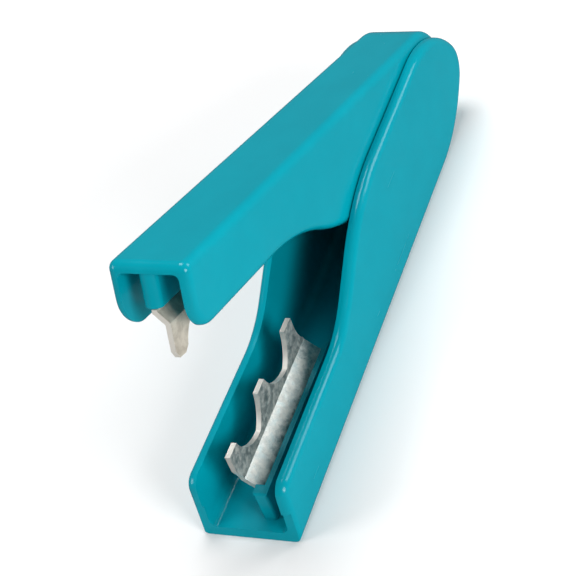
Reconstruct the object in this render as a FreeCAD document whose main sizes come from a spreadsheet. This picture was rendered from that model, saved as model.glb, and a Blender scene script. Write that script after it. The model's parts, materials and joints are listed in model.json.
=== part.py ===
import FreeCAD, Part
import math
import os

import Sketcher

# Hinged hand squeeze tool: two moulded channel arms on one captured hinge pin,
# a toothed claw plate in the upper arm and a toothed anvil plate in the lower arm.
# Row frame: +X runs forward from the hinge to the open ends, +Z is up, the flat back
# of the lower arm lies on z = 0, y = 0 is the middle plane, and the origin is the
# middle of that flat back. Every piece is drawn around the hinge axis and is placed.

os.makedirs("parts", exist_ok=True)
doc = FreeCAD.newDocument("squeeze_tool")
sheet = doc.addObject("Spreadsheet::Sheet", "Dims")

V = FreeCAD.Vector


class Size:
    """A length that knows both its value and the sheet formula behind it."""

    def __init__(self, text, value):
        self.text = text
        self.value = float(value)

    def _mix(self, other, sign, value):
        other = as_size(other)
        return Size("(%s %s %s)" % (self.text, sign, other.text), value(self.value, other.value))

    def __add__(self, other):
        return self._mix(other, "+", lambda a, b: a + b)

    def __radd__(self, other):
        return as_size(other) + self

    def __sub__(self, other):
        return self._mix(other, "-", lambda a, b: a - b)

    def __rsub__(self, other):
        return as_size(other) - self

    def __mul__(self, other):
        return self._mix(other, "*", lambda a, b: a * b)

    def __rmul__(self, other):
        return as_size(other) * self

    def __truediv__(self, other):
        return self._mix(other, "/", lambda a, b: a / b)

    def __neg__(self):
        return Size("(0 - %s)" % self.text, -self.value)


def as_size(x):
    return x if isinstance(x, Size) else Size(repr(float(x)), x)


def sin(a):
    return Size("sin(%s * 1 deg)" % a.text, math.sin(math.radians(a.value)))


def cos(a):
    return Size("cos(%s * 1 deg)" % a.text, math.cos(math.radians(a.value)))


def root(a):
    return Size("sqrt(%s)" % a.text, math.sqrt(a.value))


ROW = {"n": 1}


def size(name, value, note):
    """A driving dimension: one sheet row with a plain number and an alias."""
    row = ROW["n"]
    ROW["n"] += 1
    sheet.set("A%d" % row, name)
    sheet.set("B%d" % row, repr(float(value)))
    sheet.setAlias("B%d" % row, name)
    sheet.set("C%d" % row, note)
    return Size("Dims.%s" % name, value)


def derive(name, expr, note):
    """A worked-out dimension: one sheet row with a formula."""
    row = ROW["n"]
    ROW["n"] += 1
    sheet.set("A%d" % row, name)
    sheet.set("B%d" % row, "=" + expr.text.replace("Dims.", ""))
    sheet.setAlias("B%d" % row, name)
    sheet.set("C%d" % row, note)
    return Size("Dims.%s" % name, expr.value)


# ---- driving dimensions, mm and degrees ----------------------------------------
open_angle = size("open_angle", 20.6, "upper arm above the lower arm at rest")

# lower arm
low_back = size("low_back", 22.0, "hinge axis to the flat back")
low_top = size("low_top", 18.4, "hinge axis to the open edge beside the hinge")
low_rim = size("low_rim", 2.2, "open edge of the slender front, below the axis")
low_reach = size("low_reach", 155.0, "hinge axis to the front of the side walls")
end_slant = size("end_slant", 8.0, "slope of the front end against the upright")
facet_drop = size("facet_drop", 11.4, "hinge axis down to the top of the cut facet")
facet_cut = size("facet_cut", 0.7, "depth of the cut facet on the front end")
low_wide = size("low_wide", 30.0, "outer width at the front")
low_narrow = size("low_narrow", 27.4, "outer width beside the hinge")
low_wall = size("low_wall", 3.2, "side wall thickness of the lower arm")
low_floor = size("low_floor", 3.0, "back thickness of the lower arm")
tip_round = size("tip_round", 4.5, "corner radius of the open edge at the front")
bend_start = size("bend_start", 31.0, "slope of the open edge between its two bends")
bend_far = size("bend_far", 62.0, "radius of the bend next to the hinge")
bend_near = size("bend_near", 32.0, "radius of the bend next to the slender front")
rim_foot = size("rim_foot", 108.0, "where the slender front begins")
heel_x = size("heel_x", 10.0, "where the flat back begins")
heel_round = size("heel_round", 44.0, "radius of the back under the hinge")
nose_round = size("nose_round", 9.8, "radius of the rear end")
nose_reach = size("nose_reach", 22.4, "hinge axis to the rear end")
shoulder_x = size("shoulder_x", 9.0, "where the rear shoulder meets the open edge")
floor_edge = size("floor_edge", 2.4, "rounding of the long inner corners of the lower arm")
low_edge = size("low_edge", 2.3, "edge rounding of the lower arm")

# upper arm
side_gap = size("side_gap", 0.45, "clearance between the arms on each side")
up_top = size("up_top", 18.5, "hinge axis to the outside of the upper arm")
up_reach = size("up_reach", 163.8, "hinge axis to the front of the upper arm")
up_wall = size("up_wall", 2.8, "wall thickness of the upper arm")
up_rim = size("up_rim", 1.2, "lower edge of the front walls, below the axis")
up_deep = size("up_deep", 15.2, "radius and depth of the walls beside the hinge")
swell_rear = size("swell_rear", 52.0, "where the deep part of the walls ends")
swell_front = size("swell_front", 118.0, "where the shallow part of the walls begins")
lobe_round = size("lobe_round", 9.0, "front lower corner radius of the walls")
up_edge = size("up_edge", 2.5, "edge rounding of the upper arm")
top_inside = size("top_inside", 1.6, "rounding of the long inner corners of the upper arm")
stop_angle = size("stop_angle", 165.0, "direction of the moulded opening stop")
stop_gap = size("stop_gap", 0.05, "gap left at the opening stop")
lobe_gap = size("lobe_gap", 0.6, "clearance around the upper arm hinge lobe")

# middle web of the upper arm
web_left = size("web_left", 3.9, "web face on the -Y side")
web_right = size("web_right", 1.3, "web face on the +Y side")
web_low = size("web_low", 5.4, "underside of the web above the axis")
web_rear = size("web_rear", 17.0, "rear end of the web")
web_back = size("web_back", 1.0, "front of the web and the claw plate behind the arm's front")
web_edge = size("web_edge", 0.6, "edge rounding of the underside of the web")

# steel plates
steel = size("steel", 1.5, "steel plate thickness")
fit_gap = size("fit_gap", 0.02, "clearance of the plates in their slots")
pitch = size("pitch", 22.5, "tooth pitch of both plates")
tooth_len = size("tooth_len", 5.2, "length of a tooth tip of the anvil plate")
tooth_high = size("tooth_high", 4.5, "anvil tooth tips above the axis")
scoop = size("scoop", 9.0, "depth of the anvil scallops")
anvil_rear = size("anvil_rear", 97.8, "rear end of the anvil plate")
anvil_tip = size("anvil_tip", 100.0, "rear end of the first anvil tooth tip")
anvil_face = size("anvil_face", 0.1, "+Y face of the anvil teeth, on the -Y side")
anvil_bend = size("anvil_bend", 6.4, "bend line below the axis")
scoop_run = size("scoop_run", 5.6, "length of the rising side of a scallop")
rise_round = size("rise_round", 14.0, "radius of the rising side of a scallop")
hook_round = size("hook_round", 11.8, "radius of the undercut side of a tooth")
strip_trim = size("strip_trim", 1.8, "front of the strip behind the front of the last tooth")
strip_run = size("strip_run", 6.3, "sideways run of the slanted strip")
claw_face = size("claw_face", 3.2, "+Y face of the claw teeth")
claw_flange = size("claw_flange", 0.15, "+Y face of the held flange")
claw_bend = size("claw_bend", 5.0, "upper bend line above the axis")
claw_deep = size("claw_deep", 8.4, "front claw tooth tip below the axis")
rear_deep = size("rear_deep", 4.9, "tips of the two rear claw teeth below the axis")
claw_hold = size("claw_hold", 6.5, "height of flange held in the web")
claw_tip_in = size("claw_tip_in", 6.4, "length of a pointed tooth tip of the claw plate")
claw_hook = size("claw_hook", 10.6, "radius of the hooked side of a claw tooth")
claw_rise = size("claw_rise", 13.0, "radius of the rising side between claw teeth")
claw_tail = size("claw_tail", 9.5, "radius behind the last claw tooth")
flange_front_in = size("flange_front_in", 3.4, "flange front behind the claw front")
flange_tail = size("flange_tail", 6.0, "flange behind the last claw tooth")

# rib that carries the anvil plate
rib_left = size("rib_left", 2.8, "rib face on the side of the teeth")
rib_right = size("rib_right", 7.0, "rib face next to the +Y wall")
rib_lip = size("rib_lip", 1.55, "thickness of the rib lip beside the strip")
rib_drop = size("rib_drop", 8.2, "top of the rib below the axis")
rib_lead = size("rib_lead", 1.2, "how far the rib starts behind the anvil plate")
rib_end = size("rib_end", 3.4, "length of the end block of the rib")
end_gap = size("end_gap", 0.2, "gap between the strip and the end block")
rib_edge = size("rib_edge", 0.8, "edge rounding of the end block")
sink = size("sink", 0.5, "how far a moulded rib or web reaches into its wall")

# hinge
pin_dia = size("pin_dia", 5.0, "hinge pin diameter")
pin_run = size("pin_run", 0.04, "radial running clearance in the lower arm")
pin_press = size("pin_press", 0.01, "radial clearance of the pin in the upper arm")
socket = size("socket", 2.0, "depth of the blind sockets")
pin_float = size("pin_float", 0.1, "end clearance of the pin")
boss_dia = size("boss_dia", 11.0, "boss around the pin on the upper arm walls")
boss_len = size("boss_len", 2.6, "how far each boss stands inwards")

# return spring
wire = size("wire", 1.2, "spring wire diameter")
coil_mean = size("coil_mean", 8.6, "mean diameter of the spring coil")
turns = size("turns", 4.5, "number of turns, always ending in a half turn")
coil_step = size("coil_step", 1.32, "advance per turn")
leg_reach = size("leg_reach", 44.0, "how far the spring legs reach forward")
leg_gap = size("leg_gap", 0.25, "clearance of the leg ends")

# ---- worked-out dimensions -------------------------------------------------------
half_wide = derive("half_wide", low_wide / 2, "half outer width at the front")
half_narrow = derive("half_narrow", low_narrow / 2, "half outer width at the hinge")
in_wide = derive("in_wide", half_wide - low_wall, "half inner width at the front")
in_narrow = derive("in_narrow", half_narrow - low_wall, "half inner width at the hinge")
up_half_wide = derive("up_half_wide", in_wide - side_gap, "half width, upper arm front")
up_half_narrow = derive("up_half_narrow", in_narrow - side_gap, "half width, upper arm rear")
up_in_wide = derive("up_in_wide", up_half_wide - up_wall, "half inner width, upper front")
up_in_narrow = derive("up_in_narrow", up_half_narrow - up_wall, "half inner width, upper rear")
rim_fall = derive("rim_fall", low_top + low_rim, "fall of the open edge")
bends = derive("bends", bend_far + bend_near, "sum of the two bend radii")
slope_len = derive(
    "slope_len", (rim_fall - bends * (1 - cos(bend_start))) / sin(bend_start), "straight slope")
bend_x = derive(
    "bend_x", rim_foot - bends * sin(bend_start) - slope_len * cos(bend_start), "first bend start")
lobe_in = derive("lobe_in", up_deep + lobe_gap, "radius of the lower arm hollow at the hinge")
floor_z = derive("floor_z", low_floor - low_back, "inside of the lower arm back")
tip_x = derive("tip_x", low_reach - tip_round + tip_round * cos(end_slant), "tip arc end")
tip_z = derive("tip_z", tip_round * sin(end_slant) - tip_round - low_rim, "tip arc end")
front_end = derive(
    "front_end", tip_x + (low_back + tip_z) * sin(end_slant) / cos(end_slant), "front of the floor")
web_front = derive("web_front", up_reach - web_back, "front end of the web")
claw_front = derive("claw_front", up_reach - web_back, "front edge of the claw plate")
last_tooth = derive("last_tooth", anvil_tip + pitch * 2 + tooth_len, "front of the last tooth")
strip_front = derive("strip_front", last_tooth - strip_trim, "front end of the strip")
rib_front = derive("rib_front", strip_front + end_gap + rib_end, "front end of the rib")
rib_back = derive("rib_back", anvil_rear - rib_lead, "rear end of the rib")
lean = derive("lean", (half_wide - half_narrow) / front_end, "how fast each side leans outwards")

doc.recompute()


# ---- sketch helpers ----------------------------------------------------------------
def plane(body, role):
    for item in body.Origin.OriginFeatures:
        if item.Role == role:
            return item
    raise RuntimeError("no plane " + role)


def new_body(name):
    body = doc.addObject("PartDesign::Body", name)
    body.Label = name
    return body


def new_sketch(body, name, role, offset=None):
    sk = body.newObject("Sketcher::SketchObject", name)
    sk.AttachmentSupport = [(plane(body, role), "")]
    sk.MapMode = "FlatFace"
    if offset is not None:
        sk.AttachmentOffset = FreeCAD.Placement(V(0, 0, offset.value), FreeCAD.Rotation())
        sk.setExpression(".AttachmentOffset.Base.z", offset.text)
    return sk


def pin_down(sk, geo, pos, x, y):
    """Tie one end of a line or arc to the sketch origin by two bound distances."""
    for kind, s in (("DistanceX", x), ("DistanceY", y)):
        n = sk.addConstraint(Sketcher.Constraint(kind, -1, 1, geo, pos, s.value))
        sk.setExpression("Constraints[%d]" % n, s.text)


def arc_of(a, b, radius, left):
    """Arc from a to b with its centre on the left or the right of the way a to b."""
    ax, ay, bx, by = a[0].value, a[1].value, b[0].value, b[1].value
    dx, dy = bx - ax, by - ay
    chord = math.hypot(dx, dy)
    rise = math.sqrt(max(radius.value ** 2 - chord ** 2 / 4, 0.0))
    side = 1.0 if left else -1.0
    cx = (ax + bx) / 2 - side * dy / chord * rise
    cy = (ay + by) / 2 + side * dx / chord * rise
    start, end = (a, b) if left else (b, a)
    t0 = math.atan2(start[1].value - cy, start[0].value - cx)
    t1 = math.atan2(end[1].value - cy, end[0].value - cx)
    if t1 <= t0:
        t1 += 2 * math.pi
    circle = Part.Circle(V(cx, cy, 0), V(0, 0, 1), radius.value)
    return Part.ArcOfCircle(circle, t0, t1), left


def outline(sk, path):
    """Closed outline. Each entry is (x, y) or (x, y, radius, centre on the left)
    where the radius belongs to the stretch that leaves this corner."""
    pts = [(as_size(p[0]), as_size(p[1])) for p in path]
    count = len(path)
    ends = []
    for i, entry in enumerate(path):
        a, b = pts[i], pts[(i + 1) % count]
        if len(entry) == 2:
            g = sk.addGeometry(Part.LineSegment(V(a[0].value, a[1].value, 0),
                                                V(b[0].value, b[1].value, 0)), False)
            ends.append((g, 1, 2))
        else:
            radius = as_size(entry[2])
            shape, forward = arc_of(a, b, radius, entry[3])
            g = sk.addGeometry(shape, False)
            ends.append((g, 1, 2) if forward else (g, 2, 1))
            n = sk.addConstraint(Sketcher.Constraint("Radius", g, radius.value))
            sk.setExpression("Constraints[%d]" % n, radius.text)
    for i in range(count):
        g, _, last = ends[i]
        h, first, _ = ends[(i + 1) % count]
        sk.addConstraint(Sketcher.Constraint("Coincident", g, last, h, first))
        pin_down(sk, ends[i][0], ends[i][1], pts[i][0], pts[i][1])


def disc(sk, x, y, radius):
    x, y, radius = as_size(x), as_size(y), as_size(radius)
    g = sk.addGeometry(Part.Circle(V(x.value, y.value, 0), V(0, 0, 1), radius.value), False)
    pin_down(sk, g, 3, x, y)
    n = sk.addConstraint(Sketcher.Constraint("Radius", g, radius.value))
    sk.setExpression("Constraints[%d]" % n, radius.text)


def finish_feature(body, feat, sk, grows):
    before = body.Tip.Shape.Volume if body.Tip is not None and not body.Tip.Shape.isNull() else 0.0
    body.Tip = feat
    sk.Visibility = False
    doc.recompute()
    after = feat.Shape.Volume
    print("%-26s %10.1f -> %10.1f mm3" % (feat.Name, before, after))
    if grows != (after > before + 1e-3) or abs(after - before) < 1e-3:
        raise RuntimeError(feat.Name + " changed nothing or the wrong way")
    return feat


def pad(body, name, sk, length, both=False, flip=False):
    """both: half of the length on each side of the sketch."""
    old = body.Tip
    feat = body.newObject("PartDesign::Pad", name)
    feat.Profile = sk
    feat.Length = length.value
    feat.setExpression("Length", length.text)
    feat.SideType = "Symmetric" if both else "One side"
    feat.Reversed = flip
    body.Tip = old
    return finish_feature(body, feat, sk, True)


def pocket(body, name, sk, length=None, both=False, flip=False):
    old = body.Tip
    feat = body.newObject("PartDesign::Pocket", name)
    feat.Profile = sk
    if length is None:
        feat.Type = "ThroughAll"
    else:
        feat.Type = "Length"
        feat.Length = length.value
        feat.setExpression("Length", length.text)
    feat.SideType = "Symmetric" if both else "One side"
    feat.Reversed = flip
    body.Tip = old
    return finish_feature(body, feat, sk, False)


def edges_where(shape, test):
    names = []
    for i, edge in enumerate(shape.Edges, 1):
        mid = edge.valueAt((edge.FirstParameter + edge.LastParameter) / 2)
        if test(edge, mid):
            names.append("Edge%d" % i)
    return names


def fillet(body, name, test, radius):
    base = body.Tip
    names = edges_where(base.Shape, test)
    if not names:
        raise RuntimeError(name + ": no edges to round")
    feat = body.newObject("PartDesign::Fillet", name)
    feat.Base = (base, names)
    feat.Radius = radius.value
    feat.setExpression("Radius", radius.text)
    body.Tip = feat
    doc.recompute()
    if "Invalid" in feat.State or feat.Shape.isNull() or not feat.Shape.isValid():
        raise RuntimeError(name + " failed on " + str(names))
    print("%-26s %d edges rounded" % (name, len(names)))
    return feat


def along_y(edge):
    a, b = edge.Vertexes[0].Point, edge.Vertexes[-1].Point
    return abs(b.x - a.x) < 1e-6 and abs(b.z - a.z) < 1e-6 and len(edge.Vertexes) == 2


def lean_sides(body, name, half_at_hinge, rear, front):
    """Trim both flanks so that the half width grows evenly from rear to front."""
    sk = new_sketch(body, name + "_plan", "XY_Plane")
    for s in (1, -1):
        path = [(rear, half_at_hinge + lean * rear), (front, half_at_hinge + lean * front),
                (front, half_wide + 4), (rear, half_wide + 4)]
        outline(sk, [(p[0], p[1] * s) for p in path])
    return pocket(body, name, sk, low_back * 6, both=True)


def hollow_out(body, core, name):
    before = body.Tip.Shape.Volume
    cut = body.newObject("PartDesign::Boolean", name)
    cut.Type = "Cut"
    cut.setObjects([core])
    body.Tip = cut
    doc.recompute()
    print("%-26s %10.1f -> %10.1f mm3" % (name, before, cut.Shape.Volume))
    if not cut.Shape.Volume < before:
        raise RuntimeError(name + " removed nothing")


# ==== lower arm ====================================================================
lower = new_body("lower_arm")

# rear end: three tangent arcs, the middle one is the nose
nose_x = nose_round - nose_reach
heel_c = (heel_x, heel_round - low_back)


def toward(c, n, radius):
    """The point at the given radius from c in the direction of n."""
    dist = root((n[0] - c[0]) * (n[0] - c[0]) + (n[1] - c[1]) * (n[1] - c[1]))
    return (c[0] + (n[0] - c[0]) * radius / dist, c[1] + (n[1] - c[1]) * radius / dist)


# The nose centre lies so that the nose touches the heel arc from inside; the
# shoulder radius then follows from touching both the nose and the open edge.
nose_z = derive(
    "nose_z",
    heel_c[1] - root((heel_round - nose_round) * (heel_round - nose_round)
                     - (nose_x - heel_x) * (nose_x - heel_x)),
    "height of the nose centre that makes it touch the heel arc")
gap_x = shoulder_x - nose_x
gap_z = low_top - nose_z
shoulder_round = derive(
    "shoulder_round",
    (gap_x * gap_x + gap_z * gap_z - nose_round * nose_round) / (2 * (gap_z - nose_round)),
    "radius of the rear shoulder, from touching the nose and the open edge")
nose_c = (nose_x, nose_z)
shoulder_c = (shoulder_x, low_top - shoulder_round)
heel_end = toward(heel_c, nose_c, heel_round)
nose_end = toward(shoulder_c, nose_c, shoulder_round)
heel_end_x = derive("heel_end_x", heel_end[0], "heel arc end")
heel_end_z = derive("heel_end_z", heel_end[1], "heel arc end")
nose_end_x = derive("nose_end_x", nose_end[0], "nose arc end")
nose_end_z = derive("nose_end_z", nose_end[1], "nose arc end")
doc.recompute()

bend_a = (bend_x + bend_far * sin(bend_start), low_top - bend_far * (1 - cos(bend_start)))
bend_b = (bend_a[0] + slope_len * cos(bend_start), bend_a[1] - slope_len * sin(bend_start))

sk = new_sketch(lower, "lower_side", "XZ_Plane")
outline(sk, [
    (front_end, -low_back),
    (tip_x, tip_z, tip_round, True),
    (low_reach - tip_round, -low_rim),
    (rim_foot, -low_rim, bend_near, False),
    (bend_b[0], bend_b[1]),
    (bend_a[0], bend_a[1], bend_far, True),
    (bend_x, low_top),
    (shoulder_x, low_top, shoulder_round, True),
    (nose_end_x, nose_end_z, nose_round, True),
    (heel_end_x, heel_end_z, heel_round, True),
    (heel_x, -low_back),
])
pad(lower, "lower_block", sk, low_wide, both=True)

# both side faces lean outwards towards the front
far = front_end + 1
lean_sides(lower, "lower_taper", half_narrow, -nose_reach - 3, far)


def lower_outer_edge(edge, mid):
    if along_y(edge) or abs(mid.y) < half_narrow.value - 0.7:
        return False
    return True


fillet(lower, "lower_rounding", lower_outer_edge, low_edge)

# flat facet on the front end, below the rounded rim
sk = new_sketch(lower, "facet_side", "XZ_Plane")
run = sin(end_slant) / cos(end_slant)
facet_x = tip_x + (facet_drop + tip_z) * run - facet_cut
outline(sk, [
    (facet_x, -facet_drop),
    (facet_x + (low_back + 2 - facet_drop) * run, -low_back - 2),
    (far + 2, -low_back - 2),
    (far + 2, -facet_drop),
])
pocket(lower, "facet", sk, low_wide + 4, both=True)

# the hollow: flat floor, hinge lobe, opening stop ledge, open top and front
lower_core = new_body("lower_core")
sk = new_sketch(lower_core, "lower_core_side", "XZ_Plane")
out_r = nose_reach + 6
outline(sk, [
    (far + 4, floor_z),
    (far + 4, up_top + 20),
    (out_r * cos(stop_angle), up_top + 20),
    (out_r * cos(stop_angle), out_r * sin(stop_angle)),
    (lobe_in * cos(stop_angle), lobe_in * sin(stop_angle), lobe_in, True),
    (0, -lobe_in),
    (heel_x, floor_z),
])
pad(lower_core, "lower_core_block", sk, low_wide + 4, both=True)
lean_sides(lower_core, "lower_core_taper", in_narrow, -out_r - 1, far + 5)


def lower_core_corner(edge, mid):
    return abs(mid.z - floor_z.value) < 1e-3 and not along_y(edge)


fillet(lower_core, "lower_core_rounding", lower_core_corner, floor_edge)
hollow_out(lower, lower_core, "lower_hollow")

# rib with a slanted seat, a lip beside the strip and an end block in front
rib_foot = floor_z - sink
lip_y = rib_right - rib_lip
diag = steel * math.sqrt(2.0)
top_c = anvil_bend + anvil_face


def strip_top(y):
    """Height of the upper surface of the slanted strip at the sideways place y."""
    return -top_c - y + fit_gap * math.sqrt(2.0)


def strip_low(y):
    return -top_c - y - diag - fit_gap * math.sqrt(2.0)


slot_y = strip_run - anvil_face + fit_gap
slot_back = steel / math.sqrt(2.0) + fit_gap * math.sqrt(2.0)
sk = new_sketch(lower, "rib_section", "YZ_Plane", rib_back)
outline(sk, [
    (rib_left, rib_foot),
    (rib_right, rib_foot),
    (rib_right, -rib_drop),
    (lip_y, -rib_drop),
    (lip_y, strip_top(lip_y)),
    (slot_y, strip_top(slot_y)),
    (slot_y - slot_back, strip_low(slot_y - slot_back)),
    (rib_left, strip_low(rib_left)),
])
pad(lower, "rib", sk, rib_front - rib_back)

sk = new_sketch(lower, "rib_rear_section", "YZ_Plane", rib_back)
outline(sk, [
    (lip_y - sink, rib_foot),
    (rib_right, rib_foot),
    (rib_right, -rib_drop),
    (lip_y, -rib_drop),
    (lip_y, strip_top(lip_y)),
    (lip_y - sink, strip_low(lip_y - sink)),
])
pad(lower, "rib_rear_stop", sk, rib_lead - fit_gap)

sk = new_sketch(lower, "rib_end_section", "YZ_Plane", rib_front)
outline(sk, [
    (rib_left, rib_foot),
    (rib_right, rib_foot),
    (rib_right, -rib_drop),
    (rib_left, -rib_drop),
])
pad(lower, "rib_end_block", sk, rib_end, flip=True)

sk = new_sketch(lower, "socket_disc", "XZ_Plane")
disc(sk, 0, 0, pin_dia / 2 + pin_run)
pocket(lower, "pin_sockets", sk, (in_narrow + socket) * 2, both=True)


def rib_nose(edge, mid):
    near = abs(mid.x - rib_front.value) < 1e-3 and mid.z > floor_z.value + 1
    return near and rib_left.value - 1e-3 <= mid.y <= rib_right.value + 1e-3


fillet(lower, "rib_end_rounding", rib_nose, rib_edge)


# ==== upper arm ====================================================================
upper = new_body("upper_arm")
stop_upper = derive("stop_upper", stop_angle - open_angle, "rear end of the outer shell")
mid_x = (swell_rear + swell_front) / 2
mid_z = -(up_deep + up_rim) / 2
swell_dx = swell_front - swell_rear
swell_dz = up_deep - up_rim
swell_round = derive(
    "swell_round", (swell_dx * swell_dx + swell_dz * swell_dz) / (4 * swell_dz), "swell radius")
# angle that the stop gap takes up at the outer radius
stop_trim = stop_gap / up_top * (180 / math.pi)
end_dir = derive("end_dir", stop_upper - stop_trim, "direction of the end of the outer shell")
doc.recompute()

sk = new_sketch(upper, "upper_side", "XZ_Plane")
outline(sk, [
    (up_reach, up_top),
    (0, up_top, up_top, True),
    (up_top * cos(end_dir), up_top * sin(end_dir)),
    (up_deep * cos(end_dir), up_deep * sin(end_dir), up_deep, True),
    (0, -up_deep),
    (swell_rear, -up_deep, swell_round, True),
    (mid_x, mid_z, swell_round, False),
    (swell_front, -up_rim),
    (up_reach - lobe_round, -up_rim, lobe_round, True),
    (up_reach, lobe_round - up_rim),
])
pad(upper, "upper_block", sk, up_half_wide * 2, both=True)

up_far = up_reach + 1
lean_sides(upper, "upper_taper", up_half_narrow, -up_top - 2, up_far)


def upper_outer_edge(edge, mid):
    if along_y(edge) and mid.x > up_reach.value - 1e-3 and mid.z > up_top.value - 1e-3:
        return True
    if along_y(edge) or abs(mid.y) < up_half_narrow.value - 0.7:
        return False
    # the straight step at the end of the outer shell stays sharp
    step = abs(math.degrees(math.atan2(mid.z, mid.x)) - end_dir.value) < 0.05
    return not step


fillet(upper, "upper_rounding", upper_outer_edge, up_edge)

upper_core = new_body("upper_core")
sk = new_sketch(upper_core, "upper_core_side", "XZ_Plane")
up_in = up_top - up_wall
clear_r = up_top + 12
outline(sk, [
    (up_far + 4, up_in),
    (0, up_in, up_in, True),
    (up_in * cos(end_dir), up_in * sin(end_dir)),
    (clear_r * cos(end_dir), clear_r * sin(end_dir)),
    (clear_r * cos(end_dir), -up_deep - 10),
    (up_far + 4, -up_deep - 10),
])
pad(upper_core, "upper_core_block", sk, low_wide + 4, both=True)
lean_sides(upper_core, "upper_core_taper", up_in_narrow, -clear_r - 1, up_far + 5)


def upper_core_corner(edge, mid):
    return abs(mid.z - up_in.value) < 1e-3 and not along_y(edge)


fillet(upper_core, "upper_core_rounding", upper_core_corner, top_inside)
hollow_out(upper, upper_core, "upper_hollow")

# middle web with a rounded front end
sk = new_sketch(upper, "web_plan", "XY_Plane", web_low)
web_half = (web_left + web_right) / 2
web_r = web_half * 1.04
web_bulge = web_r - root(web_r * web_r - web_half * web_half)
outline(sk, [
    (web_rear, -web_left),
    (web_front - web_bulge, -web_left, web_r, True),
    (web_front - web_bulge, web_right),
    (web_rear, web_right),
])
pad(upper, "web", sk, up_in - web_low + sink)


def web_foot(edge, mid):
    return abs(mid.z - web_low.value) < 1e-3 and abs(edge.BoundBox.ZLength) < 1e-3


fillet(upper, "web_rounding", web_foot, web_edge)

# bosses around the pin, one on each wall
sk = new_sketch(upper, "boss_disc", "XZ_Plane")
disc(sk, 0, 0, boss_dia / 2)
pad(upper, "boss", sk, up_in_narrow * 2 + sink, both=True)
sk = new_sketch(upper, "boss_gap_disc", "XZ_Plane")
disc(sk, 0, 0, boss_dia / 2 + 1)
pocket(upper, "boss_gap", sk, (up_in_narrow - boss_len) * 2, both=True)
sk = new_sketch(upper, "pin_hole_disc", "XZ_Plane")
disc(sk, 0, 0, pin_dia / 2 + pin_press)
pocket(upper, "pin_hole", sk, up_half_narrow * 2 + 2, both=True)

# slot that holds the claw plate flange
flange_rear = derive("flange_rear", claw_front - pitch * 2 - flange_tail, "rear end")
flange_front = claw_front - flange_front_in
sk = new_sketch(upper, "claw_slot_plan", "XY_Plane", web_low - sink)
outline(sk, [
    (flange_rear - fit_gap, claw_flange - steel - fit_gap),
    (flange_front + fit_gap, claw_flange - steel - fit_gap),
    (flange_front + fit_gap, claw_flange + fit_gap),
    (flange_rear - fit_gap, claw_flange + fit_gap),
])
pocket(upper, "claw_slot", sk, claw_hold + sink + fit_gap, flip=True)


# ==== hinge pin ====================================================================
pin = new_body("hinge_pin")
pin_half = derive("pin_half", in_narrow + socket - pin_float, "half length of the pin")
pin_cham = 0.4
doc.recompute()
sk = new_sketch(pin, "pin_half_section", "XY_Plane")
outline(sk, [
    (0, -pin_half),
    (pin_dia / 2 - pin_cham, -pin_half),
    (pin_dia / 2, pin_cham - pin_half),
    (pin_dia / 2, pin_half - pin_cham),
    (pin_dia / 2 - pin_cham, pin_half),
    (0, pin_half),
])
rev = pin.newObject("PartDesign::Revolution", "pin_turned")
rev.Profile = sk
rev.ReferenceAxis = (sk, ["V_Axis"])
rev.Angle = 360.0
finish_feature(pin, rev, sk, True)


# ==== anvil plate ==================================================================
anvil = new_body("anvil_plate")
root_z = -anvil_bend + 0.4
scoop_z = tooth_high - scoop
tip_2 = anvil_tip + pitch
tip_3 = anvil_tip + pitch * 2
sk = new_sketch(anvil, "anvil_comb", "XZ_Plane", anvil_face)
outline(sk, [
    (anvil_rear, root_z),
    (strip_front, root_z),
    (tip_3 + tooth_len, tooth_high - 6.0),
    (tip_3 + tooth_len, tooth_high),
    (tip_3, tooth_high, hook_round, False),
    (tip_2 + tooth_len + scoop_run, scoop_z, rise_round, False),
    (tip_2 + tooth_len, tooth_high),
    (tip_2, tooth_high, hook_round, False),
    (anvil_tip + tooth_len + scoop_run, scoop_z, rise_round, False),
    (anvil_tip + tooth_len, tooth_high),
    (anvil_tip, tooth_high),
    (anvil_tip, tooth_high - 3.5, hook_round, False),
])
pad(anvil, "anvil_teeth", sk, steel)

sk = new_sketch(anvil, "anvil_fold", "YZ_Plane", anvil_rear)
run_y = strip_run - anvil_face
outer_c = steel * math.tan(math.radians(22.5))
outline(sk, [
    (-anvil_face - steel, root_z + 0.3),
    (-anvil_face - steel, -anvil_bend - outer_c),
    (run_y - steel / math.sqrt(2.0), -top_c - run_y - steel / math.sqrt(2.0)),
    (run_y, -top_c - run_y),
    (-anvil_face, -anvil_bend),
    (-anvil_face, root_z + 0.3),
])
pad(anvil, "anvil_strip", sk, strip_front - anvil_rear)


def anvil_heel(edge, mid):
    low = abs(mid.z + anvil_bend.value + outer_c.value) < 1e-3
    return low and abs(mid.y + anvil_face.value + steel.value) < 1e-3


fillet(anvil, "anvil_bend_round", anvil_heel, steel)


# ==== claw plate ===================================================================
claw = new_body("claw_plate")
joggle = claw_face - claw_flange
knee_z = derive("knee_z", claw_bend - joggle, "lower bend line of the claw plate")
claw_top = knee_z - 0.3
doc.recompute()
sk = new_sketch(claw, "claw_comb", "XZ_Plane", -claw_face)
path = [(claw_front, claw_top)]
for k in (0, 1, 2):
    x = claw_front - pitch * k
    deep = rear_deep if k else claw_deep
    path += [
        (x, 2.4 - deep),
        (x - 1.4, 0.2 - deep),
        (x - 4.6, -deep),
    ]
    if k < 2:
        path += [
            (x - claw_tip_in, 1.4 - deep, claw_hook, True),
            (x - pitch + 4.6, knee_z - 0.9, claw_rise, True),
        ]
    else:
        path += [
            (x - claw_tip_in, 1.4 - deep, claw_tail, True),
            (flange_rear - 2.0, knee_z - 0.9),
        ]
path += [(flange_rear - 2.0, claw_top)]
outline(sk, path)
pad(claw, "claw_teeth", sk, steel, flip=False)

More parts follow.
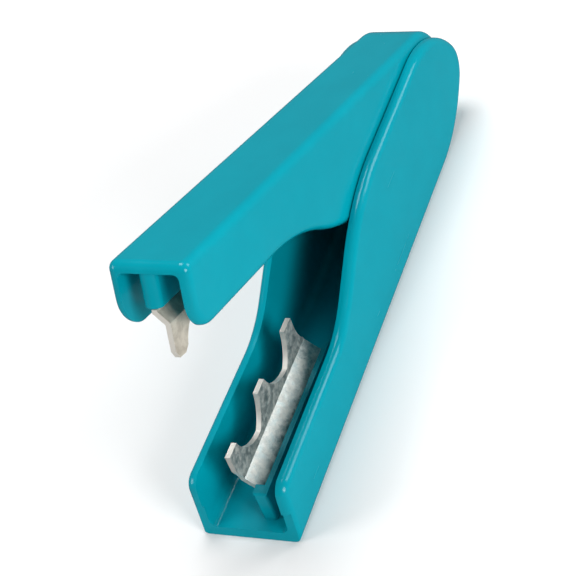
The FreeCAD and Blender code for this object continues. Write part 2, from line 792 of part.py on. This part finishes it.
sk = new_sketch(claw, "claw_fold", "YZ_Plane", flange_rear - 2.0)
left = claw_flange - steel
outline(sk, [
    (claw_flange, claw_bend + 0.4),
    (claw_flange, claw_bend),
    (claw_face, knee_z),
    (claw_face, claw_top - 0.3),
    (claw_face - steel, claw_top - 0.3),
    (claw_face - steel, knee_z - outer_c),
    (left, claw_bend - outer_c),
    (left, claw_bend + 0.4),
])
pad(claw, "claw_joggle", sk, claw_front - flange_rear + 2.0)

sk = new_sketch(claw, "claw_flange_side", "XZ_Plane", -claw_flange)
outline(sk, [
    (flange_rear, claw_bend),
    (flange_front, claw_bend),
    (flange_front, web_low + claw_hold),
    (flange_rear, web_low + claw_hold),
])
pad(claw, "claw_flange_plate", sk, steel)


# ==== return spring ================================================================
# A torsion spring around the pin, drawn as the sleeve that its close turns fill. One
# leg lies on the floor of the lower arm, the other one under the back of the upper
# arm. Each leg leaves the sleeve along a tangent.
spring = new_body("return_spring")
spring_half = derive("spring_half", (turns * coil_step + wire) / 2, "half length of the coil")
coil_out = coil_mean / 2 + wire / 2
coil_in = coil_mean / 2 - wire / 2
doc.recompute()
sk = new_sketch(spring, "coil_section", "XY_Plane")
outline(sk, [
    (coil_in, -spring_half),
    (coil_out, -spring_half),
    (coil_out, spring_half),
    (coil_in, spring_half),
])
rev = spring.newObject("PartDesign::Revolution", "coil")
rev.Profile = sk
rev.ReferenceAxis = (sk, ["V_Axis"])
rev.Angle = 360.0
finish_feature(spring, rev, sk, True)


def spring_leg(name, tilt, height, side, below):
    """Straight wire at the end of the coil, tangent to it. It ends at leg_reach, at the
    given height above the axis, in a frame that is turned up by the tilt."""
    height = as_size(height)
    lift = coil_mean / 2
    dist = root(leg_reach * leg_reach + height * height)
    length = derive(name + "_length", root(dist * dist - lift * lift), "length of the leg")
    slope = Size("(asin(%s / %s) / 1 deg)" % (lift.text, dist.text),
                 math.degrees(math.asin(lift.value / dist.value)))
    aim = Size("(atan2(%s; %s) / 1 deg)" % (height.text, leg_reach.text),
               math.degrees(math.atan2(height.value, leg_reach.value))) + tilt
    way = derive(name + "_way", aim + slope if below else aim - slope, "direction of the leg")
    doc.recompute()
    run_x, run_z = length * cos(way), length * sin(way)
    if below:
        lift = -lift
    wide = wire / 2
    foot = (-lift * sin(way), lift * cos(way))
    near, over = (wide * sin(way), -wide * cos(way)), (-wide * sin(way), wide * cos(way))
    sk = new_sketch(spring, name + "_side", "XZ_Plane", -side)
    outline(sk, [
        (foot[0] + near[0], foot[1] + near[1]),
        (foot[0] + run_x + near[0], foot[1] + run_z + near[1]),
        (foot[0] + run_x + over[0], foot[1] + run_z + over[1]),
        (foot[0] + over[0], foot[1] + over[1]),
    ])
    pad(spring, name, sk, wire, both=True)


side_y = spring_half - wire / 2
spring_leg("low_leg", 0, floor_z + wire / 2 + leg_gap, -side_y, True)
spring_leg("high_leg", open_angle, up_in - wire / 2 - leg_gap, side_y, False)

# ---- placements --------------------------------------------------------------------
flat_mid = derive("flat_mid", (heel_x + front_end) / 2, "hinge axis to the middle of the back")
doc.recompute()
level = V(-flat_mid.value, 0, low_back.value)
flat = FreeCAD.Placement(level, FreeCAD.Rotation())
raised = FreeCAD.Placement(level, FreeCAD.Rotation(V(0, 1, 0), -open_angle.value))
for item in (lower, anvil, spring):
    item.Placement = flat
for item in (upper, claw, pin):
    item.Placement = raised
for item in (lower, anvil, spring, upper, claw, pin):
    item.setExpression(".Placement.Base.z", low_back.text)
    item.setExpression(".Placement.Base.x", (-flat_mid).text)

doc.recompute()

nodes = [lower, upper, pin, anvil, claw, spring]
for obj in doc.Objects:
    bad = [s for s in obj.State if s in ("Invalid", "Error")]
    if bad:
        raise RuntimeError("%s: %s" % (obj.Name, bad))
for obj in nodes:
    if obj.Shape.isNull() or not obj.Shape.isValid():
        raise RuntimeError(obj.Label + " has no valid shape")
    if len(obj.Shape.Solids) != 1:
        raise RuntimeError("%s has %d solids" % (obj.Label, len(obj.Shape.Solids)))
    obj.Shape.exportStep("parts/%s.step" % obj.Label)
    box = obj.Shape.BoundBox
    print("%-14s x %.1f..%.1f y %.1f..%.1f z %.1f..%.1f vol %.0f" % (
        obj.Label, box.XMin, box.XMax, box.YMin, box.YMax, box.ZMin, box.ZMax, obj.Shape.Volume))
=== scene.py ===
import bmesh
import bpy
import json
import math
from mathutils import Matrix, Vector


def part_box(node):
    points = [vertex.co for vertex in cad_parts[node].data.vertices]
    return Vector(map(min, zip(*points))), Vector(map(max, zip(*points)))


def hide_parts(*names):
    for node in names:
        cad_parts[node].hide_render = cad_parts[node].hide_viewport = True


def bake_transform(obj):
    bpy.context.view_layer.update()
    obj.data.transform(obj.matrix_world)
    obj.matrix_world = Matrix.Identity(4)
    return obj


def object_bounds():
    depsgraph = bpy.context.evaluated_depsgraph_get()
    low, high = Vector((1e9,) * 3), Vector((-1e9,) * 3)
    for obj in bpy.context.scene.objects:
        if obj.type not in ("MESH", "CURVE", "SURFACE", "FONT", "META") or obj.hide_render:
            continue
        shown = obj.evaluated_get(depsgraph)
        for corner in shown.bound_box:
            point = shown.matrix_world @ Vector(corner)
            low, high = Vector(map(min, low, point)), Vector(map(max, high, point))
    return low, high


# Hinged hand squeeze tool. The two arms, the plates and the pin are the frame's own
# solids with finishes made here; the return spring is a new wire piece.
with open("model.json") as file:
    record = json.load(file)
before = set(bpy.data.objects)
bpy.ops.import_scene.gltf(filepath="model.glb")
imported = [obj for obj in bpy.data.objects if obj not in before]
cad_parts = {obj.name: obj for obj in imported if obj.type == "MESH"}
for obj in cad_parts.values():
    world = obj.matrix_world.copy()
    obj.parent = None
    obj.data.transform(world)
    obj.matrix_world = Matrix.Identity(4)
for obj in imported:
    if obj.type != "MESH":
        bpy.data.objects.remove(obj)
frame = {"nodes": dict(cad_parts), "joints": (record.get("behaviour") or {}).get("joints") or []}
cad_lo, cad_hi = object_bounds()

MM = 0.001
hinge = Vector(frame["joints"][0]["pos_m"])
scene = bpy.context.scene


# ---- node helpers ------------------------------------------------------------------
class Tree:
    """Adds nodes to a material or a group and links them."""

    def __init__(self, tree):
        self.tree = tree

    def add(self, kind, values=None, **props):
        node = self.tree.nodes.new(kind)
        for key, value in props.items():
            setattr(node, key, value)
        for key, value in (values or {}).items():
            self.feed(node.inputs[key], value)
        return node

    def feed(self, socket, value):
        if isinstance(value, bpy.types.NodeSocket):
            self.tree.links.new(value, socket)
        else:
            socket.default_value = value

    def mix(self, factor, low, high):
        node = self.add("ShaderNodeMix", data_type="RGBA")
        self.feed(node.inputs[0], factor)
        self.feed(node.inputs[6], low)
        self.feed(node.inputs[7], high)
        return node.outputs[2]

    def calculate(self, operation, a, b=0.0):
        node = self.add("ShaderNodeMath", operation=operation)
        self.feed(node.inputs[0], a)
        self.feed(node.inputs[1], b)
        return node.outputs[0]

    def blend_two(self, a, share_a, b, share_b):
        return self.calculate("ADD", self.calculate("MULTIPLY", a, share_a),
                              self.calculate("MULTIPLY", b, share_b))

    def spread(self, value, low, high, to_low=0.0, to_high=1.0):
        """Stretches low..high to to_low..to_high, smoothly and without going past."""
        node = self.add("ShaderNodeMapRange", interpolation_type="SMOOTHSTEP")
        for socket, number in zip(node.inputs, (value, low, high, to_low, to_high)):
            self.feed(socket, number)
        return node.outputs[0]

    def noise(self, place, scale, detail=3.0, rough=0.55):
        node = self.add("ShaderNodeTexNoise",
                        {"Vector": place, "Scale": scale, "Detail": detail, "Roughness": rough})
        return node.outputs["Fac"]

    def stretched(self, place, scale):
        return self.add("ShaderNodeMapping", {"Vector": place, "Scale": scale}).outputs[0]


def new_group(name, inputs, outputs):
    tree = bpy.data.node_groups.new(name, "ShaderNodeTree")
    for label in inputs:
        tree.interface.new_socket(label, in_out="INPUT", socket_type="NodeSocketFloat")
    for label in outputs:
        tree.interface.new_socket(label, in_out="OUTPUT", socket_type="NodeSocketFloat")
    kit = Tree(tree)
    return kit, kit.add("NodeGroupInput").outputs, kit.add("NodeGroupOutput").inputs


# Noise sizes are repeats per metre; a triple stretches the pattern along the part.
WIPE_LINES = (18.0, 900.0, 900.0)
WIPE_PATCHES = 60.0
MELT_FLOW = (9.0, 40.0, 26.0)
TONE_CLOUD = 75.0
SMEARS = 42.0
SKIN_PEEL = 420.0
SKIN_SINK = 30.0
ZINC_CLOUD = 420.0
ZINC_CRYSTALS = 900.0
ZINC_SPECKS = 1500.0
BASE_GLOSS = 0.13


def make_hairlines():
    """Thin wipe marks that run lengthwise, broken up by a broad mask."""
    kit, _, out = new_group("hairlines", [], ["Mask"])
    place = kit.add("ShaderNodeTexCoord").outputs["Object"]
    lines = kit.noise(kit.stretched(place, WIPE_LINES), 1.0, 2.0)
    patches = kit.noise(place, WIPE_PATCHES, 2.0)
    fine = kit.spread(lines, 0.66, 0.74)
    kit.feed(out["Mask"], kit.calculate("MULTIPLY", fine, kit.spread(patches, 0.48, 0.66)))
    return kit.tree


def make_moulded():
    """Tone, gloss and skin of a glossy moulding."""
    kit, given, out = new_group("moulded_skin", ["Wear"], ["Tone", "Roughness", "Height"])
    place = kit.add("ShaderNodeTexCoord").outputs["Object"]
    flow = kit.noise(kit.stretched(place, MELT_FLOW), 1.0, 4.0)
    cloud = kit.noise(place, TONE_CLOUD, 3.0)
    tone = kit.blend_two(flow, 0.65, cloud, 0.35)
    kit.feed(out["Tone"], kit.spread(tone, 0.3, 0.7))
    lines = kit.add("ShaderNodeGroup", node_tree=hairlines).outputs["Mask"]
    marks = kit.calculate("MULTIPLY", lines, given["Wear"])
    smears = kit.spread(kit.noise(place, SMEARS, 4.0, 0.6), 0.42, 0.7, 0.0, 0.09)
    gloss = kit.calculate("ADD", BASE_GLOSS, smears)
    kit.feed(out["Roughness"], kit.calculate("ADD", gloss, kit.calculate("MULTIPLY", marks, 0.2)))
    peel = kit.noise(place, SKIN_PEEL, 2.0)
    sink = kit.noise(place, SKIN_SINK, 1.0)
    skin = kit.calculate("ADD", kit.calculate("MULTIPLY", peel, 0.2), sink)
    kit.feed(out["Height"], kit.calculate("SUBTRACT", skin, kit.calculate("MULTIPLY", marks, 0.12)))
    return kit.tree


def make_zinc():
    """Mottled zinc coating: broad clouds, small crystals, and a mask for cut edges."""
    kit, _, out = new_group(
        "zinc_skin", [], ["Mottle", "Crystal", "Cut", "Roughness", "Height"])
    coord = kit.add("ShaderNodeTexCoord")
    place = coord.outputs["Object"]
    cloud = kit.noise(place, ZINC_CLOUD, 5.0, 0.66)
    kit.feed(out["Mottle"], kit.spread(cloud, 0.36, 0.66))
    cells = kit.add("ShaderNodeTexVoronoi", {"Vector": place, "Scale": ZINC_CRYSTALS})
    crystal = kit.add("ShaderNodeSeparateColor", {"Color": cells.outputs["Color"]}).outputs[0]
    kit.feed(out["Crystal"], crystal)
    facing = kit.add("ShaderNodeSeparateXYZ", {"Vector": coord.outputs["Normal"]}).outputs["Y"]
    sideways = kit.calculate("ABSOLUTE", facing)
    kit.feed(out["Cut"], kit.spread(sideways, 0.25, 0.6, 1.0, 0.0))
    speck = kit.noise(place, ZINC_SPECKS, 3.0)
    rough = kit.calculate("ADD", kit.spread(cloud, 0.35, 0.65, 0.3, 0.5),
                     kit.calculate("MULTIPLY", crystal, 0.12))
    kit.feed(out["Roughness"], rough)
    kit.feed(out["Height"], kit.calculate("ADD", speck, kit.calculate("MULTIPLY", cloud, 0.8)))
    return kit.tree


hairlines = make_hairlines()
moulded = make_moulded()
zinc = make_zinc()


def new_material(name):
    material = bpy.data.materials.new(name)
    material.use_nodes = True
    kit = Tree(material.node_tree)
    shader = material.node_tree.nodes["Principled BSDF"]
    return material, kit, shader


def moulding(name, deep, bright, wear):
    """Glossy coloured plastic."""
    material, kit, shader = new_material(name)
    skin = kit.add("ShaderNodeGroup", node_tree=moulded)
    skin.inputs["Wear"].default_value = wear
    kit.feed(shader.inputs["Base Color"], kit.mix(skin.outputs["Tone"], deep, bright))
    kit.feed(shader.inputs["Roughness"], skin.outputs["Roughness"])
    shader.inputs["IOR"].default_value = 1.48
    shader.inputs["Specular IOR Level"].default_value = 0.25
    bump = kit.add("ShaderNodeBump", {"Strength": 0.14, "Distance": 0.00008,
                                      "Height": skin.outputs["Height"]})
    kit.feed(shader.inputs["Normal"], bump.outputs[0])
    return material


def zinc_steel(name, dark, light, cut, metallic):
    """Zinc coated sheet steel with brighter cut edges."""
    material, kit, shader = new_material(name)
    skin = kit.add("ShaderNodeGroup", node_tree=zinc)
    face = kit.mix(skin.outputs["Mottle"], dark, light)
    face = kit.mix(kit.calculate("MULTIPLY", skin.outputs["Crystal"], 0.35), face, light)
    kit.feed(shader.inputs["Base Color"], kit.mix(skin.outputs["Cut"], face, cut))
    kit.feed(shader.inputs["Roughness"], skin.outputs["Roughness"])
    shader.inputs["Metallic"].default_value = metallic
    bump = kit.add("ShaderNodeBump", {"Strength": 0.35, "Distance": 0.00006,
                                      "Height": skin.outputs["Height"]})
    kit.feed(shader.inputs["Normal"], bump.outputs[0])
    return material


def drawn_steel(name, dark, light, along):
    """Steel with fine lines along or around the piece."""
    material, kit, shader = new_material(name)
    place = kit.add("ShaderNodeTexCoord").outputs["Object"]
    lines = kit.noise(kit.stretched(place, along), 1.0, 3.0)
    cloud = kit.noise(place, 300.0, 4.0)
    tone = kit.blend_two(lines, 0.6, cloud, 0.4)
    kit.feed(shader.inputs["Base Color"], kit.mix(kit.spread(tone, 0.38, 0.62), dark, light))
    kit.feed(shader.inputs["Roughness"], kit.spread(tone, 0.35, 0.65, 0.22, 0.42))
    shader.inputs["Metallic"].default_value = 1.0
    bump = kit.add("ShaderNodeBump", {"Strength": 0.3, "Distance": 0.00004, "Height": lines})
    kit.feed(shader.inputs["Normal"], bump.outputs[0])
    return material


def give_finish(piece, material):
    piece.data.materials.clear()
    piece.data.materials.append(material)


TEAL_DEEP = (0.0, 0.285, 0.362, 1.0)
TEAL_BRIGHT = (0.0, 0.315, 0.398, 1.0)
ZINC_GREY = (0.27, 0.33, 0.33, 1.0)
ZINC_PALE = (0.80, 0.80, 0.75, 1.0)
ZINC_CUT = (0.90, 0.88, 0.82, 1.0)
CLAW_GREY = (0.50, 0.45, 0.37, 1.0)
CLAW_PALE = (0.70, 0.65, 0.55, 1.0)
CLAW_CUT = (0.80, 0.77, 0.70, 1.0)
PIN_DARK = (0.42, 0.42, 0.41, 1.0)
PIN_LIGHT = (0.66, 0.65, 0.63, 1.0)
TURNED_LINES = (2500.0, 30.0, 2500.0)
SPRING_DARK = (0.30, 0.30, 0.30, 1.0)
SPRING_LIGHT = (0.52, 0.51, 0.49, 1.0)
DRAWN_LINES = (900.0, 900.0, 900.0)

nodes = frame["nodes"]
give_finish(nodes["lower_arm"], moulding("teal_lower", TEAL_DEEP, TEAL_BRIGHT, 1.0))
give_finish(nodes["upper_arm"], moulding("teal_upper", TEAL_DEEP, TEAL_BRIGHT, 0.8))
give_finish(nodes["anvil_plate"],
            zinc_steel("anvil_zinc", ZINC_GREY, ZINC_PALE, ZINC_CUT, 0.75))
give_finish(nodes["claw_plate"],
            zinc_steel("claw_zinc", CLAW_GREY, CLAW_PALE, CLAW_CUT, 0.3))
give_finish(nodes["hinge_pin"], drawn_steel("turned_pin", PIN_DARK, PIN_LIGHT, TURNED_LINES))


# ---- return spring -----------------------------------------------------------------
WIRE = 1.2 * MM
COIL = 8.6 * MM
LEG_REACH = 44.0 * MM
LEG_GAP = 0.25 * MM
TURNS = 4
RING_SIDES = 14
STEPS_PER_TURN = 40
OPEN = math.radians(20.6)
FLOOR_BELOW = 19.0 * MM
ROOF_ABOVE = 15.7 * MM


def leg_way(height, tilt, below):
    """Direction and length of a leg that is tangent to the coil."""
    dist = math.hypot(LEG_REACH, height)
    slope = math.asin(COIL / 2 / dist)
    aim = math.atan2(height, LEG_REACH) + tilt
    return (aim + slope if below else aim - slope), math.sqrt(dist ** 2 - (COIL / 2) ** 2)


def end_face(mesh, heading):
    """The cap whose normal is nearest to the heading."""
    mesh.normal_update()
    caps = [f for f in mesh.faces if len(f.verts) == RING_SIDES]
    return max(caps, key=lambda f: f.normal.dot(heading))


def pull_leg(mesh, cap, direction, length):
    """Draws a straight leg out of a cap and rounds its end a little."""
    made = bmesh.ops.extrude_face_region(mesh, geom=[cap])
    ring = [v for v in made["geom"] if isinstance(v, bmesh.types.BMVert)]
    bmesh.ops.translate(mesh, verts=ring, vec=direction * length)
    mesh.faces.remove(cap)
    tip = [f for f in made["geom"] if isinstance(f, bmesh.types.BMFace)]
    bmesh.ops.bevel(mesh, geom=list(tip[0].edges), offset=WIRE * 0.15, offset_type="OFFSET", affect="EDGES",
                    segments=2, profile=0.5, material=-1)


def make_spring():
    lo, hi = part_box("return_spring")
    side = (hi.y - lo.y) / 2 - WIRE / 2
    low_way, low_len = leg_way(-FLOOR_BELOW + WIRE / 2 + LEG_GAP, 0.0, True)
    high_way, high_len = leg_way(ROOF_ABOVE - WIRE / 2 - LEG_GAP, OPEN, False)
    start = low_way - math.pi / 2
    sweep = math.pi * (2 * TURNS + 1) - (high_way - low_way)
    mesh = bmesh.new()
    at = hinge + Vector((COIL / 2 * math.cos(start), -side, COIL / 2 * math.sin(start)))
    heading = Vector((-math.cos(low_way), 0.0, -math.sin(low_way)))
    turn = Vector((0.0, 0.0, 1.0)).rotation_difference(heading).to_matrix().to_4x4()
    disc = bmesh.ops.create_circle(mesh, cap_ends=True, segments=RING_SIDES, radius=WIRE / 2,
                                   matrix=Matrix.Translation(at) @ turn)
    steps = int(STEPS_PER_TURN * sweep / (2 * math.pi))
    faces = list({f for v in disc["verts"] for f in v.link_faces})
    bmesh.ops.spin(mesh, geom=faces, cent=hinge, axis=(0.0, 1.0, 0.0), angle=sweep,
                   dvec=(0.0, 2 * side / steps, 0.0), steps=steps, use_duplicate=False)
    bmesh.ops.recalc_face_normals(mesh, faces=mesh.faces)
    low = Vector((math.cos(low_way), 0.0, math.sin(low_way)))
    high = Vector((math.cos(high_way), 0.0, math.sin(high_way)))
    pull_leg(mesh, end_face(mesh, low), low, low_len)
    pull_leg(mesh, end_face(mesh, high), high, high_len)
    bmesh.ops.remove_doubles(mesh, verts=mesh.verts, dist=WIRE * 0.005)
    bmesh.ops.recalc_face_normals(mesh, faces=mesh.faces)
    for face in mesh.faces:
        face.smooth = len(face.verts) < RING_SIDES
    data = bpy.data.meshes.new("spring_wire")
    mesh.to_mesh(data)
    mesh.free()
    piece = bpy.data.objects.new("spring_wire", data)
    scene.collection.objects.link(piece)
    return piece, side


spring, spring_side = make_spring()
give_finish(spring, drawn_steel("spring_steel", SPRING_DARK, SPRING_LIGHT, DRAWN_LINES))
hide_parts("return_spring")
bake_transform(spring)


# ---- camera ------------------------------------------------------------------------
EYE = Vector((350.5, 239.0, 405.1)) * MM
AIM = Vector((7.2, -3.2, 28.9)) * MM
ROLL = math.radians(22.99)
LENS = 125.0

camera = bpy.data.objects.new("camera", bpy.data.cameras.new("camera"))
scene.collection.objects.link(camera)
camera.data.lens = LENS
camera.data.sensor_width = 36.0
camera.location = EYE
sight = (AIM - EYE).normalized()
upright = sight.to_track_quat("-Z", "Y").to_matrix()
camera.rotation_euler = (Matrix.Rotation(ROLL, 3, sight) @ upright).to_euler()
camera.data.clip_start = 0.01
camera.data.clip_end = 20.0
scene.camera = camera


# ---- floor and light ---------------------------------------------------------------
def make_floor():
    mesh = bmesh.new()
    bmesh.ops.create_grid(mesh, x_segments=1, y_segments=1, size=3.0)
    data = bpy.data.meshes.new("floor")
    mesh.to_mesh(data)
    mesh.free()
    floor = bpy.data.objects.new("floor", data)
    scene.collection.objects.link(floor)
    material, _, shader = new_material("pale_floor")
    shader.inputs["Base Color"].default_value = (0.9, 0.9, 0.9, 1.0)
    shader.inputs["Roughness"].default_value = 0.9
    shader.inputs["Specular IOR Level"].default_value = 0.1
    floor.data.materials.append(material)
    floor.visible_glossy = False


def add_light(name, place, target, size, power, colour=(1.0, 1.0, 1.0)):
    lamp = bpy.data.lights.new(name, "AREA")
    lamp.shape = "RECTANGLE"
    lamp.size, lamp.size_y = size
    lamp.energy = power
    lamp.color = colour
    holder = bpy.data.objects.new(name, lamp)
    scene.collection.objects.link(holder)
    holder.location = place
    holder.rotation_euler = (Vector(target) - Vector(place)).to_track_quat("-Z", "Y").to_euler()


make_floor()
middle = (cad_lo + cad_hi) / 2
add_light("over_head", (-0.35, -0.15, 1.1), middle, (0.55, 0.55), 9.0)
add_light("left_soft", (0.5, -0.9, 0.6), middle, (0.5, 0.5), 5.0)
add_light("right_soft", (0.5, 1.0, 0.5), middle, (0.5, 0.5), 10.0)
add_light("strip_panel", (-0.62, 0.68, 0.48), middle, (0.45, 0.45), 3.4)

def make_world():
    """Dim studio surroundings with a pale backdrop behind the floor."""
    world = bpy.data.worlds.new("studio")
    world.use_nodes = True
    kit = Tree(world.node_tree)
    seen = kit.add("ShaderNodeLightPath").outputs["Is Camera Ray"]
    background = world.node_tree.nodes["Background"]
    background.inputs["Color"].default_value = (1.0, 1.0, 1.0, 1.0)
    kit.feed(background.inputs["Strength"], kit.spread(seen, 0.0, 1.0, 0.13, 0.95))
    return world


scene.world = make_world()
scene.view_settings.view_transform = "Standard"
